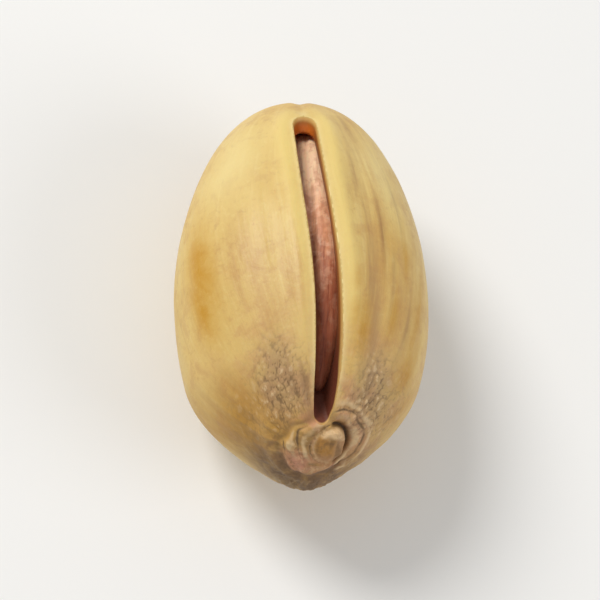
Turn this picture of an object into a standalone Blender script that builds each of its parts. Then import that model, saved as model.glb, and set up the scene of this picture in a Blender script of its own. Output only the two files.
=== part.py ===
"""A pistachio in its shell, lying on its back with the split up.

The long axis runs along Y, with the stem scar towards -Y and the tip at +Y. The split opens
towards +Z. The nut rests on a small flat on its back at Z = 0, centred on the origin.
The shell is one woody piece, open along the split, and the kernel lies loose inside it.
"""

import math

import bmesh
import bpy
import numpy as np

MM = 0.001

# Outer form of the shell
LENGTH = 20.0 * MM
WIDTH = 12.65 * MM
SPLIT_SIDE_DEPTH = 5.7 * MM
BACK_DEPTH = 6.3 * MM
STEM_END_FULLNESS = 0.06
END_BLUNTNESS = 0.13
STEM_TAPER = 0.48
STEM_TAPER_START = 0.48
SEAM_TWIST = 0.10
SEAM_TWIST_ZERO = 1.2
REST_FLAT_DEPTH = 0.45 * MM
REST_FLAT_CORNERS = 6

# Wall
WALL = 1.0 * MM
LIP_THINNING = 0.28
LIP_THINNING_REACH = 0.5
STEM_WALL = 2.1 * MM
TIP_WALL = 1.0 * MM

# Stem scar: the raised disc that the stalk left, leaned over towards the split
SCAR_LEAN = math.radians(29.5)
SCAR_ACROSS = 5.3 * MM
SCAR_UP = 7.8 * MM
NOSE_HEIGHT = 0.35 * MM
NOSE_RADIUS = 2.6 * MM
DISC_HEIGHT = 0.11 * MM
DISC_RADIUS = 1.48 * MM
DISC_EDGE = 0.30 * MM
MOAT_DEPTH = 0.08 * MM
MOAT_WIDTH = 0.20 * MM
COLLAR_HEIGHT = 0.14 * MM
COLLAR_RADIUS = 2.2 * MM
COLLAR_WIDTH = 0.34 * MM
COLLAR_TURN = math.radians(75)
KNOB_PLACE = (0.60 * MM, 0.46 * MM)
KNOB_RADII = (0.80 * MM, 0.95 * MM)
KNOB_HEIGHT = 0.16 * MM
KNOB_EDGE = 0.34
KNOB_DISH = 0.05 * MM
CRACK_DEPTH = 0.30 * MM
CRACK_WIDTH = 0.12 * MM
CRACK_TURN = math.radians(75)

# Split, in radians from the scar along the seam, and its lips
SPLIT_START = 0.185
SPLIT_END = 2.47
SPLIT_HALF_WIDTH = 0.68 * MM
SPLIT_POINT = 0.07
SPLIT_BLUNTNESS = 0.28
SPLIT_ROUNDING = 0.010
TIP_NARROWING = 0.14
LIP_BULGE = 0.06 * MM
RIM_CLOSING = 0.86
RIM_CLOSING_REACH = 0.30
LIP_RIDGE = 0.13 * MM
LIP_RIDGE_PLACE = 0.62 * MM
LIP_RIDGE_WIDTH = 0.42 * MM
LIP_GROOVE = 0.07 * MM
LIP_GROOVE_PLACE = 1.75 * MM
LIP_GROOVE_WIDTH = 0.55 * MM
SEAM_HEIGHT = 0.07 * MM
SEAM_WIDTH = 0.30 * MM

# Furrows that run out from the scar: (count round the nut, phase, share)
FURROW_DEPTH = 0.11 * MM
FURROW_START = 0.36
FURROW_FADE = 0.55
FURROWS = ((9, 0.4, 0.30), (14, 2.1, 0.40), (19, 4.0, 0.30))
# Shallow hollows that keep the sides from being too even: (waves round, waves along, phase, height)
UNEVENNESS = (
    (2, 3, 0.7, 0.05 * MM),
    (3, 4, 2.9, 0.06 * MM),
    (5, 7, 5.1, 0.03 * MM),
)

# Kernel
KERNEL_LENGTH = 15.7 * MM
KERNEL_WIDTH = 9.3 * MM
KERNEL_TOP = 4.54 * MM
KERNEL_BACK = 4.88 * MM
KERNEL_SHIFT = 0.55 * MM
KERNEL_ASIDE = 0.15 * MM
KERNEL_STEM_FULLNESS = 0.10
KERNEL_KEEL = 0.36 * MM
KERNEL_KEEL_WIDTH = 0.20
KERNEL_KEEL_TURN = 0.03
KERNEL_RIDGES = ((7, 0.6, 0.5), (11, 3.3, 0.3), (16, 1.9, 0.2))
KERNEL_RIDGE_HEIGHT = 0.10 * MM

# Mesh density
OUTER_COLUMNS = 64
INNER_COLUMNS = 32
LIP_STEPS = 4
COLUMN_CROWDING = 0.4
KERNEL_COLUMNS = 36
KERNEL_STATIONS = 26
WELD = 0.001 * MM


def smooth(t):
    """0 below 0, 1 above 1, and an S-shaped rise between."""
    t = np.clip(t, 0.0, 1.0)
    return t * t * (3.0 - 2.0 * t)


def hump(distance, width):
    """A bell of height 1 at distance 0."""
    return np.exp(-((distance / width) ** 2))


def leaned_sphere(along, around):
    """Unit-sphere points, from the scar (along 0) to the tip (along pi), round from the split.

    The circles of equal along lean over towards the split, by SCAR_LEAN at the scar, and turn
    a little against each other, so that the seam isn't straight.
    """
    lean = SCAR_LEAN * (1.0 + np.cos(along)) / 2.0
    turned = around + SEAM_TWIST * (np.cos(along) - math.cos(SEAM_TWIST_ZERO))
    x = np.sin(along) * np.sin(turned)
    y = -np.cos(along)
    z = np.sin(along) * np.cos(turned)
    return x, y * np.cos(lean) + z * np.sin(lean), z * np.cos(lean) - y * np.sin(lean)


def girth(y):
    """Share of the full width at y, from -1 at the stem end to 1 at the tip."""
    taper = STEM_TAPER * np.clip((-y - STEM_TAPER_START) / (1.0 - STEM_TAPER_START), 0.0, 1.0) ** 2
    return (1.0 - STEM_END_FULLNESS * y + END_BLUNTNESS * y**4) * (1.0 - taper)


def body(along, around):
    """Points of the plain egg-shaped body and their outward normals."""
    x, y, z = leaned_sphere(along, around)
    depth = np.where(z > 0.0, SPLIT_SIDE_DEPTH, BACK_DEPTH)
    full = girth(y)
    points = np.stack([WIDTH / 2 * full * x, LENGTH / 2 * y, depth * full * z], axis=-1)
    normals = np.stack([x / WIDTH * 2, y / LENGTH * 2, z / depth], axis=-1)
    return points, normals / np.linalg.norm(normals, axis=-1, keepdims=True)


def scar_place(along, around):
    """Where a point lies on the scar: to the right, up towards the split, and from its middle."""
    right = SCAR_ACROSS * along * np.sin(around)
    up = SCAR_UP * along * np.cos(around)
    return right, up, np.hypot(right, up)


def knob_place(right, up):
    """How far out from the knob's middle a point lies, 1 at its edge, and the turn round it."""
    across = (right - KNOB_PLACE[0]) / KNOB_RADII[0]
    above = (up - KNOB_PLACE[1]) / KNOB_RADII[1]
    return np.hypot(across, above), np.arctan2(across, above)


def scar_relief(along, around):
    """Height of the nose, the uneven disc with its moat and collar, and the knob and crack."""
    right, up, distance = scar_place(along, around)
    rim = DISC_RADIUS * (1.0 + 0.08 * np.sin(2 * around + 0.6) + 0.05 * np.cos(3 * around))
    height = NOSE_HEIGHT * hump(distance, NOSE_RADIUS)
    height += DISC_HEIGHT * smooth((rim - distance) / DISC_EDGE)
    height -= MOAT_DEPTH * hump(distance - rim - MOAT_WIDTH, MOAT_WIDTH)
    one_sided = 0.5 + 0.5 * np.cos(2 * (around - COLLAR_TURN))
    height += COLLAR_HEIGHT * one_sided * hump(distance - COLLAR_RADIUS, COLLAR_WIDTH)
    out, turn = knob_place(right, up)
    height += KNOB_HEIGHT * smooth((1.0 - out) / KNOB_EDGE)
    height -= KNOB_DISH * np.clip(1.0 - out**2, 0.0, 1.0)
    side = smooth(np.cos(turn - CRACK_TURN) / 0.35)
    from_knob = (out - 1.0) * (KNOB_RADII[0] + KNOB_RADII[1]) / 2
    return height - CRACK_DEPTH * side * hump(from_knob - CRACK_WIDTH / 2, CRACK_WIDTH)


def split_half_width(along):
    """Half the gap between the lips: drawn in to a blunt end at the stem, and narrower and round
    at the tip."""
    share = np.clip((along - SPLIT_START) / (SPLIT_END - SPLIT_START), 0.0, 1.0)
    point = SPLIT_BLUNTNESS + (1.0 - SPLIT_BLUNTNESS) * (1.0 - np.exp(-share / SPLIT_POINT))
    point *= np.sqrt(np.clip(share / SPLIT_ROUNDING, 0.0, 1.0))
    round_end = np.sqrt(np.clip(1.0 - np.clip((share - 0.94) / 0.06, 0.0, 1.0) ** 2, 0.0, 1.0))
    return SPLIT_HALF_WIDTH * (1.0 - TIP_NARROWING * smooth((share - 0.6) / 0.4)) * point * round_end


def lip_angle(along):
    """The angle round from the seam at which a lip stands."""
    lean = SCAR_LEAN * (1.0 + np.cos(along)) / 2.0
    at_seam = np.sin(along) * np.sin(lean) - np.cos(along) * np.cos(lean)
    radius = WIDTH / 2 * np.sin(along) * girth(at_seam)
    share = split_half_width(along) / np.maximum(radius, SPLIT_HALF_WIDTH)
    return np.arcsin(np.clip(share, 0.0, 1.0))


def rim_angle(along):
    """The same for the line that the raised rims follow, which closes a little beyond the split."""
    share = np.clip((along - SPLIT_START) / (SPLIT_END - SPLIT_START), 0.0, None)
    closing = 1.0 - smooth((share - RIM_CLOSING) / RIM_CLOSING_REACH)
    half_width = SPLIT_HALF_WIDTH * (1.0 - np.exp(-share / SPLIT_POINT)) * closing
    return half_width / np.maximum(WIDTH / 2 * np.sin(along), SPLIT_HALF_WIDTH)


def lip_relief(along, around):
    """The raised rim along each lip, the shallow groove beside it, and the seam where it is shut."""
    radius = WIDTH / 2 * np.sin(along)
    turn = np.minimum(around, 2 * math.pi - around)
    from_lip = radius * np.clip(turn - rim_angle(along), 0.0, None)
    inside = smooth((along - SPLIT_START) / 0.35) * smooth((SPLIT_END + 0.25 - along) / 0.35)
    ridge = LIP_RIDGE * hump(from_lip - LIP_RIDGE_PLACE, LIP_RIDGE_WIDTH)
    groove = LIP_GROOVE * hump(from_lip - LIP_GROOVE_PLACE, LIP_GROOVE_WIDTH)
    beyond = smooth((along - SPLIT_END) / 0.12) * hump(radius * turn, SEAM_WIDTH)
    back = smooth((along - 0.6) / 0.6) * hump(radius * (math.pi - turn), SEAM_WIDTH)
    return inside * (ridge - groove) + SEAM_HEIGHT * (back - 1.5 * beyond)


def furrow_relief(along, around):
    """Furrows running out from the scar, which fade along the nut, and the uneven sides."""
    wave = sum(share * np.cos(count * around + phase) for count, phase, share in FURROWS)
    depth = smooth((along - 0.22) / (FURROW_START - 0.22)) * np.exp(-((along / FURROW_FADE) ** 2) / 2)
    height = -FURROW_DEPTH * depth * np.abs(wave)
    for round_waves, along_waves, phase, size in UNEVENNESS:
        wave = np.cos(round_waves * around + phase) * np.cos(along_waves * along + 2 * phase)
        height += size * np.sin(along) ** 2 * wave
    return height


def outer_surface(along, around):
    """Points of the shell's outside."""
    points, normals = body(along, around)
    height = scar_relief(along, around) + lip_relief(along, around) + furrow_relief(along, around)
    return points + normals * height[..., None]


def inner_surface(along, around):
    """Points of the smooth hollow, a wall's thickness inside the plain body. The wall thins
    towards the lips."""
    x, y, z = leaned_sphere(along, around)
    turn = np.minimum(around, 2 * math.pi - around)
    wall = WALL * (1.0 - LIP_THINNING * hump(turn, LIP_THINNING_REACH))
    depth = np.where(z > 0.0, SPLIT_SIDE_DEPTH, BACK_DEPTH) - wall
    full = girth(y)
    half_length = (LENGTH - STEM_WALL - TIP_WALL) / 2
    middle = (STEM_WALL - TIP_WALL) / 2
    across = (WIDTH / 2 - wall) * full * x
    return np.stack([across, middle + half_length * y, depth * full * z], axis=-1)


def columns(along, count):
    """Angles round from one lip to the other at each station, crowded towards the lips."""
    share = np.linspace(0.0, 1.0, count + 1)
    share = share - COLUMN_CROWDING * np.sin(2 * math.pi * share) / (2 * math.pi)
    lip = lip_angle(along)[:, None]
    return lip + (2 * math.pi - 2 * lip) * share[None, :]


def sheet_over(surface, along, count):
    """A grid of points over a surface: stations along, and columns round from lip to lip."""
    around = columns(along, count)
    return surface(np.broadcast_to(along[:, None], around.shape), around)


def lip_sheet(outer_edge, inner_edge, bulge, side):
    """A grid of points from the outer edge of a lip to its inner edge, bulging over the gap."""
    share = np.linspace(0.0, 1.0, LIP_STEPS + 1)[None, :, None]
    points = outer_edge[:, None, :] * (1.0 - share) + inner_edge[:, None, :] * share
    points[..., 0] -= side * bulge[:, None] * np.sin(math.pi * share[..., 0]) ** 0.7
    return points


def add_sheet(mesh, points, turned=False):
    """Adds a grid of points to a bmesh as faces: out for along and around, in when turned."""
    rows, cols = points.shape[:2]
    made = [[mesh.verts.new(points[r, c]) for c in range(cols)] for r in range(rows)]
    for r in range(rows - 1):
        for c in range(cols - 1):
            corners = [made[r][c], made[r + 1][c], made[r + 1][c + 1], made[r][c + 1]]
            mesh.faces.new(corners if turned else corners[::-1])


def weld(mesh):
    """Joins the sheets where their edges meet, which also closes the poles."""
    bmesh.ops.remove_doubles(mesh, verts=mesh.verts[:], dist=WELD)


def split_stations(count):
    """Stations over the split, closer together towards its two ends."""
    turn = np.linspace(0.0, math.pi, count)
    return SPLIT_START + (SPLIT_END - SPLIT_START) * (1.0 - np.cos(turn)) / 2.0


def shell_mesh():
    """The shell as one closed bmesh: outside, hollow and two lips, welded."""
    split = split_stations(30)
    to_tip = np.linspace(SPLIT_END, math.pi, 7)[1:]
    outer_along = np.concatenate([np.linspace(0.0, SPLIT_START, 12)[:-1], split, to_tip])
    inner_along = np.concatenate([np.linspace(0.0, SPLIT_START, 3)[:-1], split, to_tip])
    outer = sheet_over(outer_surface, outer_along, OUTER_COLUMNS)
    inner = sheet_over(inner_surface, inner_along, INNER_COLUMNS)
    outer_slit = slice(11, 11 + len(split))
    inner_slit = slice(2, 2 + len(split))
    bulge = LIP_BULGE * split_half_width(split) / SPLIT_HALF_WIDTH
    mesh = bmesh.new()
    add_sheet(mesh, outer)
    add_sheet(mesh, inner, turned=True)
    add_sheet(mesh, lip_sheet(outer[outer_slit, 0], inner[inner_slit, 0], bulge, 1.0), turned=True)
    add_sheet(mesh, lip_sheet(outer[outer_slit, -1], inner[inner_slit, -1], bulge, -1.0))
    weld(mesh)
    return mesh


def cut_rest_flat(mesh):
    """Planes the lowest sliver off the back and draws the cut's edge in to a few corners, so that
    the nut rests on a small flat."""
    low = min(vert.co.z for vert in mesh.verts) + REST_FLAT_DEPTH
    bmesh.ops.bisect_plane(
        mesh,
        geom=mesh.verts[:] + mesh.edges[:] + mesh.faces[:],
        dist=WELD,
        plane_co=(0.0, 0.0, low),
        plane_no=(0.0, 0.0, -1.0),
        clear_outer=True,
    )
    rim = [vert for vert in mesh.verts if vert.is_boundary]
    near = np.min([vert.co for vert in rim], axis=0)
    far = np.max([vert.co for vert in rim], axis=0)
    middle, half = (near + far) / 2, (far - near) / 2
    step = 2 * math.pi / REST_FLAT_CORNERS
    for vert in rim:
        turn = math.atan2((vert.co.x - middle[0]) / half[0], (vert.co.y - middle[1]) / half[1])
        corner = (math.floor(turn / step) + 0.5) * step
        vert.co.x = middle[0] + half[0] * math.sin(corner)
        vert.co.y = middle[1] + half[1] * math.cos(corner)
    bmesh.ops.remove_doubles(mesh, verts=rim, dist=WELD)
    bmesh.ops.edgeloop_fill(mesh, edges=[edge for edge in mesh.edges if edge.is_boundary])
    return low


def kernel_surface(along, around):
    """Points of the kernel: a blunt egg with a soft keel under the split and lengthwise
    ridges."""
    y = -np.cos(along)
    ring = np.maximum(np.sin(along), 0.0) ** (1.0 - KERNEL_STEM_FULLNESS * smooth(-y))
    x = ring * np.sin(around)
    z = ring * np.cos(around)
    depth = np.where(z > 0.0, KERNEL_TOP, KERNEL_BACK)
    full = girth(y)
    normals = np.stack([x / KERNEL_WIDTH * 2, y / KERNEL_LENGTH * 2, z / depth], axis=-1)
    normals /= np.linalg.norm(normals, axis=-1, keepdims=True)
    from_keel = (around - KERNEL_KEEL_TURN + math.pi) % (2 * math.pi) - math.pi
    wave = sum(share * np.cos(count * around + phase) for count, phase, share in KERNEL_RIDGES)
    height = np.sin(along) * (
        KERNEL_KEEL * hump(from_keel, KERNEL_KEEL_WIDTH) + KERNEL_RIDGE_HEIGHT * (wave - 1.0)
    )
    points = np.stack([KERNEL_WIDTH / 2 * full * x, KERNEL_LENGTH / 2 * y, depth * full * z], axis=-1)
    return points + (KERNEL_ASIDE, KERNEL_SHIFT, 0.0) + normals * height[..., None]


def kernel_mesh():
    """The kernel as one closed bmesh."""
    along = np.linspace(0.0, math.pi, KERNEL_STATIONS + 1)
    around = np.linspace(0.0, 2 * math.pi, KERNEL_COLUMNS + 1)
    mesh = bmesh.new()
    add_sheet(mesh, kernel_surface(*np.meshgrid(along, around, indexing="ij")))
    weld(mesh)
    return mesh


def material(name, colour, roughness):
    """A plain, slightly shiny finish."""
    made = bpy.data.materials.new(name)
    made.use_nodes = True
    shader = made.node_tree.nodes["Principled BSDF"]
    shader.inputs["Base Color"].default_value = (*colour, 1.0)
    shader.inputs["Roughness"].default_value = roughness
    shader.inputs["Metallic"].default_value = 0.0
    return made


def add_object(name, mesh, finish, parent):
    """Turns a bmesh into a smooth-shaded object under the parent."""
    data = bpy.data.meshes.new(name)
    mesh.to_mesh(data)
    mesh.free()
    data.shade_smooth()
    data.set_sharp_from_angle(angle=math.radians(50))
    data.materials.append(finish)
    made = bpy.data.objects.new(name, data)
    bpy.context.scene.collection.objects.link(made)
    made.parent = parent
    return made


def main():
    for old in list(bpy.data.objects):
        bpy.data.objects.remove(old)
    shell = shell_mesh()
    floor = cut_rest_flat(shell)
    low = np.min([vert.co for vert in shell.verts], axis=0)
    high = np.max([vert.co for vert in shell.verts], axis=0)
    nut = bpy.data.objects.new("pistachio", None)
    nut.location = (-(low[0] + high[0]) / 2, -(low[1] + high[1]) / 2, -floor)
    bpy.context.scene.collection.objects.link(nut)
    add_object("shell", shell, material("shell_wood", (0.72, 0.55, 0.30), 0.55), nut)
    add_object("kernel", kernel_mesh(), material("kernel_skin", (0.45, 0.22, 0.14), 0.5), nut)


main()
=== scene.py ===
"""A roasted pistachio in its open shell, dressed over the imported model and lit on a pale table."""

import math

import bmesh
import bpy
import numpy as np
from mathutils import Matrix, Vector


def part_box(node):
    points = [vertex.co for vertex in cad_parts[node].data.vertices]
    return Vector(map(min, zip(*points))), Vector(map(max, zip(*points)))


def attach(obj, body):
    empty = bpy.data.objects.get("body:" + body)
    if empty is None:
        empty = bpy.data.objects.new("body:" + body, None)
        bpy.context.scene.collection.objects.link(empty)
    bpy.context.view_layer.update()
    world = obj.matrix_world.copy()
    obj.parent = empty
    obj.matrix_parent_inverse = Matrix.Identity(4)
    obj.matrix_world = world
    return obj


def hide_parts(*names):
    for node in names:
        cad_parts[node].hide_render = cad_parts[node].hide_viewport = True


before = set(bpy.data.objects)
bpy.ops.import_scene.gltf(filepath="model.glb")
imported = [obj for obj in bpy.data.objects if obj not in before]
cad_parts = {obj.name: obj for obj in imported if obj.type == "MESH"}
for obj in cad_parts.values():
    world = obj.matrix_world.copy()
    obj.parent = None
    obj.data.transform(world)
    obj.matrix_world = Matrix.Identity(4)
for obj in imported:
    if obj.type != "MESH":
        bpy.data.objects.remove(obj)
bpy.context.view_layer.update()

# The camera. It looks down on the nut's split, a little from the stem end and a little from the
# left, so that the split stands right of the middle. The tip is up in the picture.
CAMERA_LEFT = math.radians(12.5)
CAMERA_TO_STEM = math.radians(19.5)
CAMERA_TURN = math.radians(1.0)
CAMERA_DISTANCE = 0.165
CAMERA_LENS = 200.0
CAMERA_AIM = Vector((0.0, -0.0002, 0.0058))

toward = Vector((
    -math.sin(CAMERA_LEFT) * math.cos(CAMERA_TO_STEM),
    -math.sin(CAMERA_TO_STEM),
    math.cos(CAMERA_LEFT) * math.cos(CAMERA_TO_STEM),
))
upward = (Vector((0.0, 1.0, 0.0)) - toward * toward.y).normalized()
upward.rotate(Matrix.Rotation(-CAMERA_TURN, 3, toward))
camera_data = bpy.data.cameras.new("camera")
camera_data.lens = CAMERA_LENS
camera_data.clip_start = 0.005
camera_data.clip_end = 10.0
camera = bpy.data.objects.new("camera", camera_data)
bpy.context.scene.collection.objects.link(camera)
camera.matrix_world = Matrix.Translation(CAMERA_AIM + toward * CAMERA_DISTANCE) @ Matrix(
    (upward.cross(toward), upward, toward)
).transposed().to_4x4()
bpy.context.scene.camera = camera
bpy.context.scene.view_settings.view_transform = "Standard"


# The shell. A hard woody husk that grew in one piece: it is closed at the stem scar, down the
# back and over the tip, and it has sprung open along the seam on top. Its outside is smooth at
# the tip and furrowed round the scar, and its wall is about a millimetre thick.
MM = 0.001

# The egg. A place on it is told by two angles in radians: along, from the scar (0) to the tip
# (pi), and around, from the split. Its girth is told by y, from -1 at the stem end to 1.
LENGTH = 20.0 * MM
WIDTH = 12.65 * MM
SPLIT_SIDE_DEPTH = 5.7 * MM
BACK_DEPTH = 6.3 * MM
STEM_END_FULLNESS = 0.06
END_BLUNTNESS = 0.13
STEM_TAPER = 0.48
STEM_TAPER_START = 0.48
SEAM_TWIST = 0.10
SEAM_TWIST_ZERO = 1.2
# The wall round the hollow
WALL = 1.0 * MM
LIP_THINNING = 0.28
LIP_THINNING_REACH = 0.5
STEM_WALL = 2.1 * MM
TIP_WALL = 1.0 * MM
# The scar's lean towards the split, and its size across and up for each radian along
SCAR_LEAN = math.radians(29.5)
SCAR_ACROSS = 5.3 * MM
SCAR_UP = 7.8 * MM
# The split: its two ends along the nut, and its outline in shares of its length
SPLIT_START = 0.185
SPLIT_END = 2.47
SPLIT_HALF_WIDTH = 0.68 * MM
SPLIT_POINT = 0.07
SPLIT_BLUNTNESS = 0.40
SPLIT_ROUNDING = 0.018
TIP_ROUNDING = 0.06
TIP_NARROWING = 0.14
TIP_NARROWING_START = 0.6
LIP_BULGE = 0.06 * MM
# Patterns take their random numbers from a list of this length, which the three large primes
# share out over the corners of a lattice
LATTICE_NUMBERS = 4096
LATTICE_SPREAD = np.array([73856093, 19349663, 83492791])


def smooth(t):
    """0 below 0, 1 above 1, and an S-shaped rise between."""
    t = np.clip(t, 0.0, 1.0)
    return t * t * (3.0 - 2.0 * t)


def hump(distance, width):
    """A bell of height 1 at distance 0."""
    return np.exp(-((distance / width) ** 2))


def grain(places, seed):
    """Smooth random values from -1 to 1: a random number at each corner of a unit lattice, and
    an S-shaped blend of the eight corners round each place."""
    cell = np.floor(places).astype(np.int64)
    part = places - cell
    part = part * part * (3.0 - 2.0 * part)
    corners = np.random.default_rng(seed).uniform(-1.0, 1.0, LATTICE_NUMBERS)
    total = np.zeros(places.shape[:-1])
    for step in np.ndindex(2, 2, 2):
        spot = (cell + step) @ LATTICE_SPREAD % LATTICE_NUMBERS
        weight = np.prod(np.where(np.array(step) == 1, part, 1.0 - part), axis=-1)
        total += weight * corners[spot]
    return total


def cell_middles(places, seed):
    """0 on the borders of irregular cells and up to 1 in their middles: the distance to the second
    nearest of points scattered one to a unit cube, less that to the nearest."""
    cell = np.floor(places).astype(np.int64)
    shifts = np.random.default_rng(seed).uniform(0.0, 1.0, (LATTICE_NUMBERS, 3))
    nearest = np.full(places.shape[:-1], 9.0)
    second = nearest.copy()
    for step in np.ndindex(3, 3, 3):
        corner = cell + np.array(step) - 1
        spot = corner @ LATTICE_SPREAD % LATTICE_NUMBERS
        away = np.linalg.norm(corner + shifts[spot] - places, axis=-1)
        second = np.minimum(second, np.maximum(nearest, away))
        nearest = np.minimum(nearest, away)
    return second - nearest


def leaned_sphere(along, around):
    """Unit-sphere points, from the scar (along 0) to the tip (along pi), round from the split.

    The circles of equal along lean over towards the split, by SCAR_LEAN at the scar, and turn
    a little against each other, so that the seam isn't straight.
    """
    lean = SCAR_LEAN * (1.0 + np.cos(along)) / 2.0
    turned = around + SEAM_TWIST * (np.cos(along) - math.cos(SEAM_TWIST_ZERO))
    x = np.sin(along) * np.sin(turned)
    y = -np.cos(along)
    z = np.sin(along) * np.cos(turned)
    return x, y * np.cos(lean) + z * np.sin(lean), z * np.cos(lean) - y * np.sin(lean)


def girth(y):
    """Share of the full width at y, from -1 at the stem end to 1 at the tip."""
    reach = np.clip((-y - STEM_TAPER_START) / (1.0 - STEM_TAPER_START), 0.0, 1.0)
    return (1.0 - STEM_END_FULLNESS * y + END_BLUNTNESS * y**4) * (1.0 - STEM_TAPER * reach**2)


def body(along, around):
    """Points of the plain egg-shaped body and their outward normals."""
    x, y, z = leaned_sphere(along, around)
    depth = np.where(z > 0.0, SPLIT_SIDE_DEPTH, BACK_DEPTH)
    full = girth(y)
    points = np.stack([WIDTH / 2 * full * x, LENGTH / 2 * y, depth * full * z], axis=-1)
    normals = np.stack([x / WIDTH * 2, y / LENGTH * 2, z / depth], axis=-1)
    return points, normals / np.linalg.norm(normals, axis=-1, keepdims=True)


# The stem scar, where the nut hung on its stalk: a broad nose with an uneven disc on it, a moat
# and a collar round the disc, and on it the torn stump of the stalk, a low knob
NOSE_HEIGHT = 0.35 * MM
NOSE_RADIUS = 2.6 * MM
DISC_HEIGHT = 0.11 * MM
DISC_RADIUS = 1.48 * MM
DISC_EDGE = 0.30 * MM
DISC_RAGGED = 0.10
MOAT_DEPTH = 0.08 * MM
MOAT_WIDTH = 0.20 * MM
COLLAR_HEIGHT = 0.14 * MM
COLLAR_RADIUS = 2.2 * MM
COLLAR_WIDTH = 0.34 * MM
COLLAR_TURN = math.radians(75)
KNOB_PLACE = (0.60 * MM, 0.46 * MM)
KNOB_RADII = (0.80 * MM, 0.95 * MM)
KNOB_HEIGHT = 0.16 * MM
KNOB_EDGE = 0.34
KNOB_DISH = 0.04 * MM
KNOB_RAGGED = 0.05
KNOB_LID = 0.40
KNOB_LID_TILT = 0.12
KNOB_LID_RAGGED = 0.12
KNOB_LID_SOFTNESS = 0.30
KNOB_FACE_DEPTH = 0.06 * MM
KNOB_STREAK = 0.035 * MM
KNOB_STREAK_SIZE = (0.15 * MM, 0.8 * MM)
# The crack round the knob's far side, and the rings: wobbles are (share of the spacing, size of
# the lumps, seed)
CRACK_DEPTH = 0.30 * MM
CRACK_WIDTH = 0.12 * MM
CRACK_TURN = math.radians(75)
CRACK_SOFTNESS = 0.35
RING_HEIGHT = 0.06 * MM
RING_SPACING = 0.64 * MM
RING_START = 0.38 * MM
RING_WOBBLES = ((0.14, 0.7 * MM, 3), (0.08, 0.25 * MM, 15))
RING_FADE_START = 0.8 * MM
RING_FADE_END = 1.5 * MM
GRIT_HEIGHT = 0.035 * MM
GRIT_SIZES = ((0.16 * MM, 11), (0.35 * MM, 13))
SCAR_PATTERN_ORIGIN = 30.0


def scar_place(along, around):
    """Where a point lies on the scar: to the right, up towards the split, and from its middle."""
    right = SCAR_ACROSS * along * np.sin(around)
    up = SCAR_UP * along * np.cos(around)
    return right, up, np.hypot(right, up)


def scar_noise(right, up, size, seed):
    """Smooth random values from -1 to 1 over the scar, with lumps of about the given size."""
    return grain(np.stack([right, up, 0 * up], axis=-1) / size + SCAR_PATTERN_ORIGIN, seed)


def disc_rim(right, up, around):
    """The radius of the uneven disc, with two and three soft lobes and a ragged edge."""
    lobes = 1.0 + 0.08 * np.sin(2 * around + 0.6) + 0.05 * np.cos(3 * around)
    return DISC_RADIUS * (lobes + DISC_RAGGED * scar_noise(right, up, 0.5 * MM, 14))


def knob_place(right, up):
    """How far out from the knob's middle a point lies, 1 at its edge, and the turn round it."""
    across = (right - KNOB_PLACE[0]) / KNOB_RADII[0]
    above = (up - KNOB_PLACE[1]) / KNOB_RADII[1]
    ragged = 1.0 + KNOB_RAGGED * scar_noise(right, up, 0.45 * MM, 17)
    return np.hypot(across, above) * ragged, np.arctan2(across, above)


def knob_distance(out):
    """About how far outside the knob's edge a point lies, for its share of the way out."""
    return (out - 1.0) * (KNOB_RADII[0] + KNOB_RADII[1]) / 2


def knob_parts(right, up):
    """From 0 to 1: the knob's thick upper rim, its sunk face below, and streaks up the face."""
    out, turn = knob_place(right, up)
    ragged = KNOB_LID_RAGGED * scar_noise(right, up, 0.22 * MM, 18)
    above = out * np.cos(turn) + KNOB_LID_TILT * out * np.sin(turn) - KNOB_LID + ragged
    rim = smooth(above / KNOB_LID_SOFTNESS + 0.5) * smooth((1.04 - out) / 0.20)
    face = smooth(0.5 - above / KNOB_LID_SOFTNESS) * smooth((0.98 - out) / 0.30)
    places = np.stack([right / KNOB_STREAK_SIZE[0], up / KNOB_STREAK_SIZE[1], 0 * up], axis=-1)
    streaks = grain(places + SCAR_PATTERN_ORIGIN, 16)
    return rim, face, face * smooth(0.4 + streaks)


def crack_side(turn):
    """1 on the far side of the knob, where the scar has torn open, and 0 elsewhere."""
    return smooth(np.cos(turn - CRACK_TURN) / CRACK_SOFTNESS)


def scar_rings(right, up):
    """Rounded crests round the knob with narrow creases between them, from -1 to 1, bent and
    broken up by smooth noise."""
    from_knob = knob_distance(knob_place(right, up)[0])
    wobble = sum(share * scar_noise(right, up, size, seed) for share, size, seed in RING_WOBBLES)
    turns = (from_knob - RING_START) / RING_SPACING + wobble
    broken = 0.55 + 0.45 * smooth(0.7 + scar_noise(right, up, 0.45 * MM, 12))
    return broken * (2.0 * np.abs(np.cos(math.pi * turns)) - 1.0)


def ring_share(right, up, around):
    """Where the rings stand out: on the disc, less towards its foot, and beyond the crack."""
    out, turn = knob_place(right, up)
    from_knob = knob_distance(out)
    inside = disc_rim(right, up, around) + 0.1 * MM - np.hypot(right, up)
    on_disc = smooth(inside / (0.2 * MM)) * (0.25 + 0.75 * smooth((up + 1.0 * MM) / (0.8 * MM)))
    faded = smooth((from_knob - RING_FADE_START) / (RING_FADE_END - RING_FADE_START))
    beyond = crack_side(turn) * (1.0 - faded)
    return smooth(from_knob / (0.12 * MM)) * np.maximum(on_disc, beyond)


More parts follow.
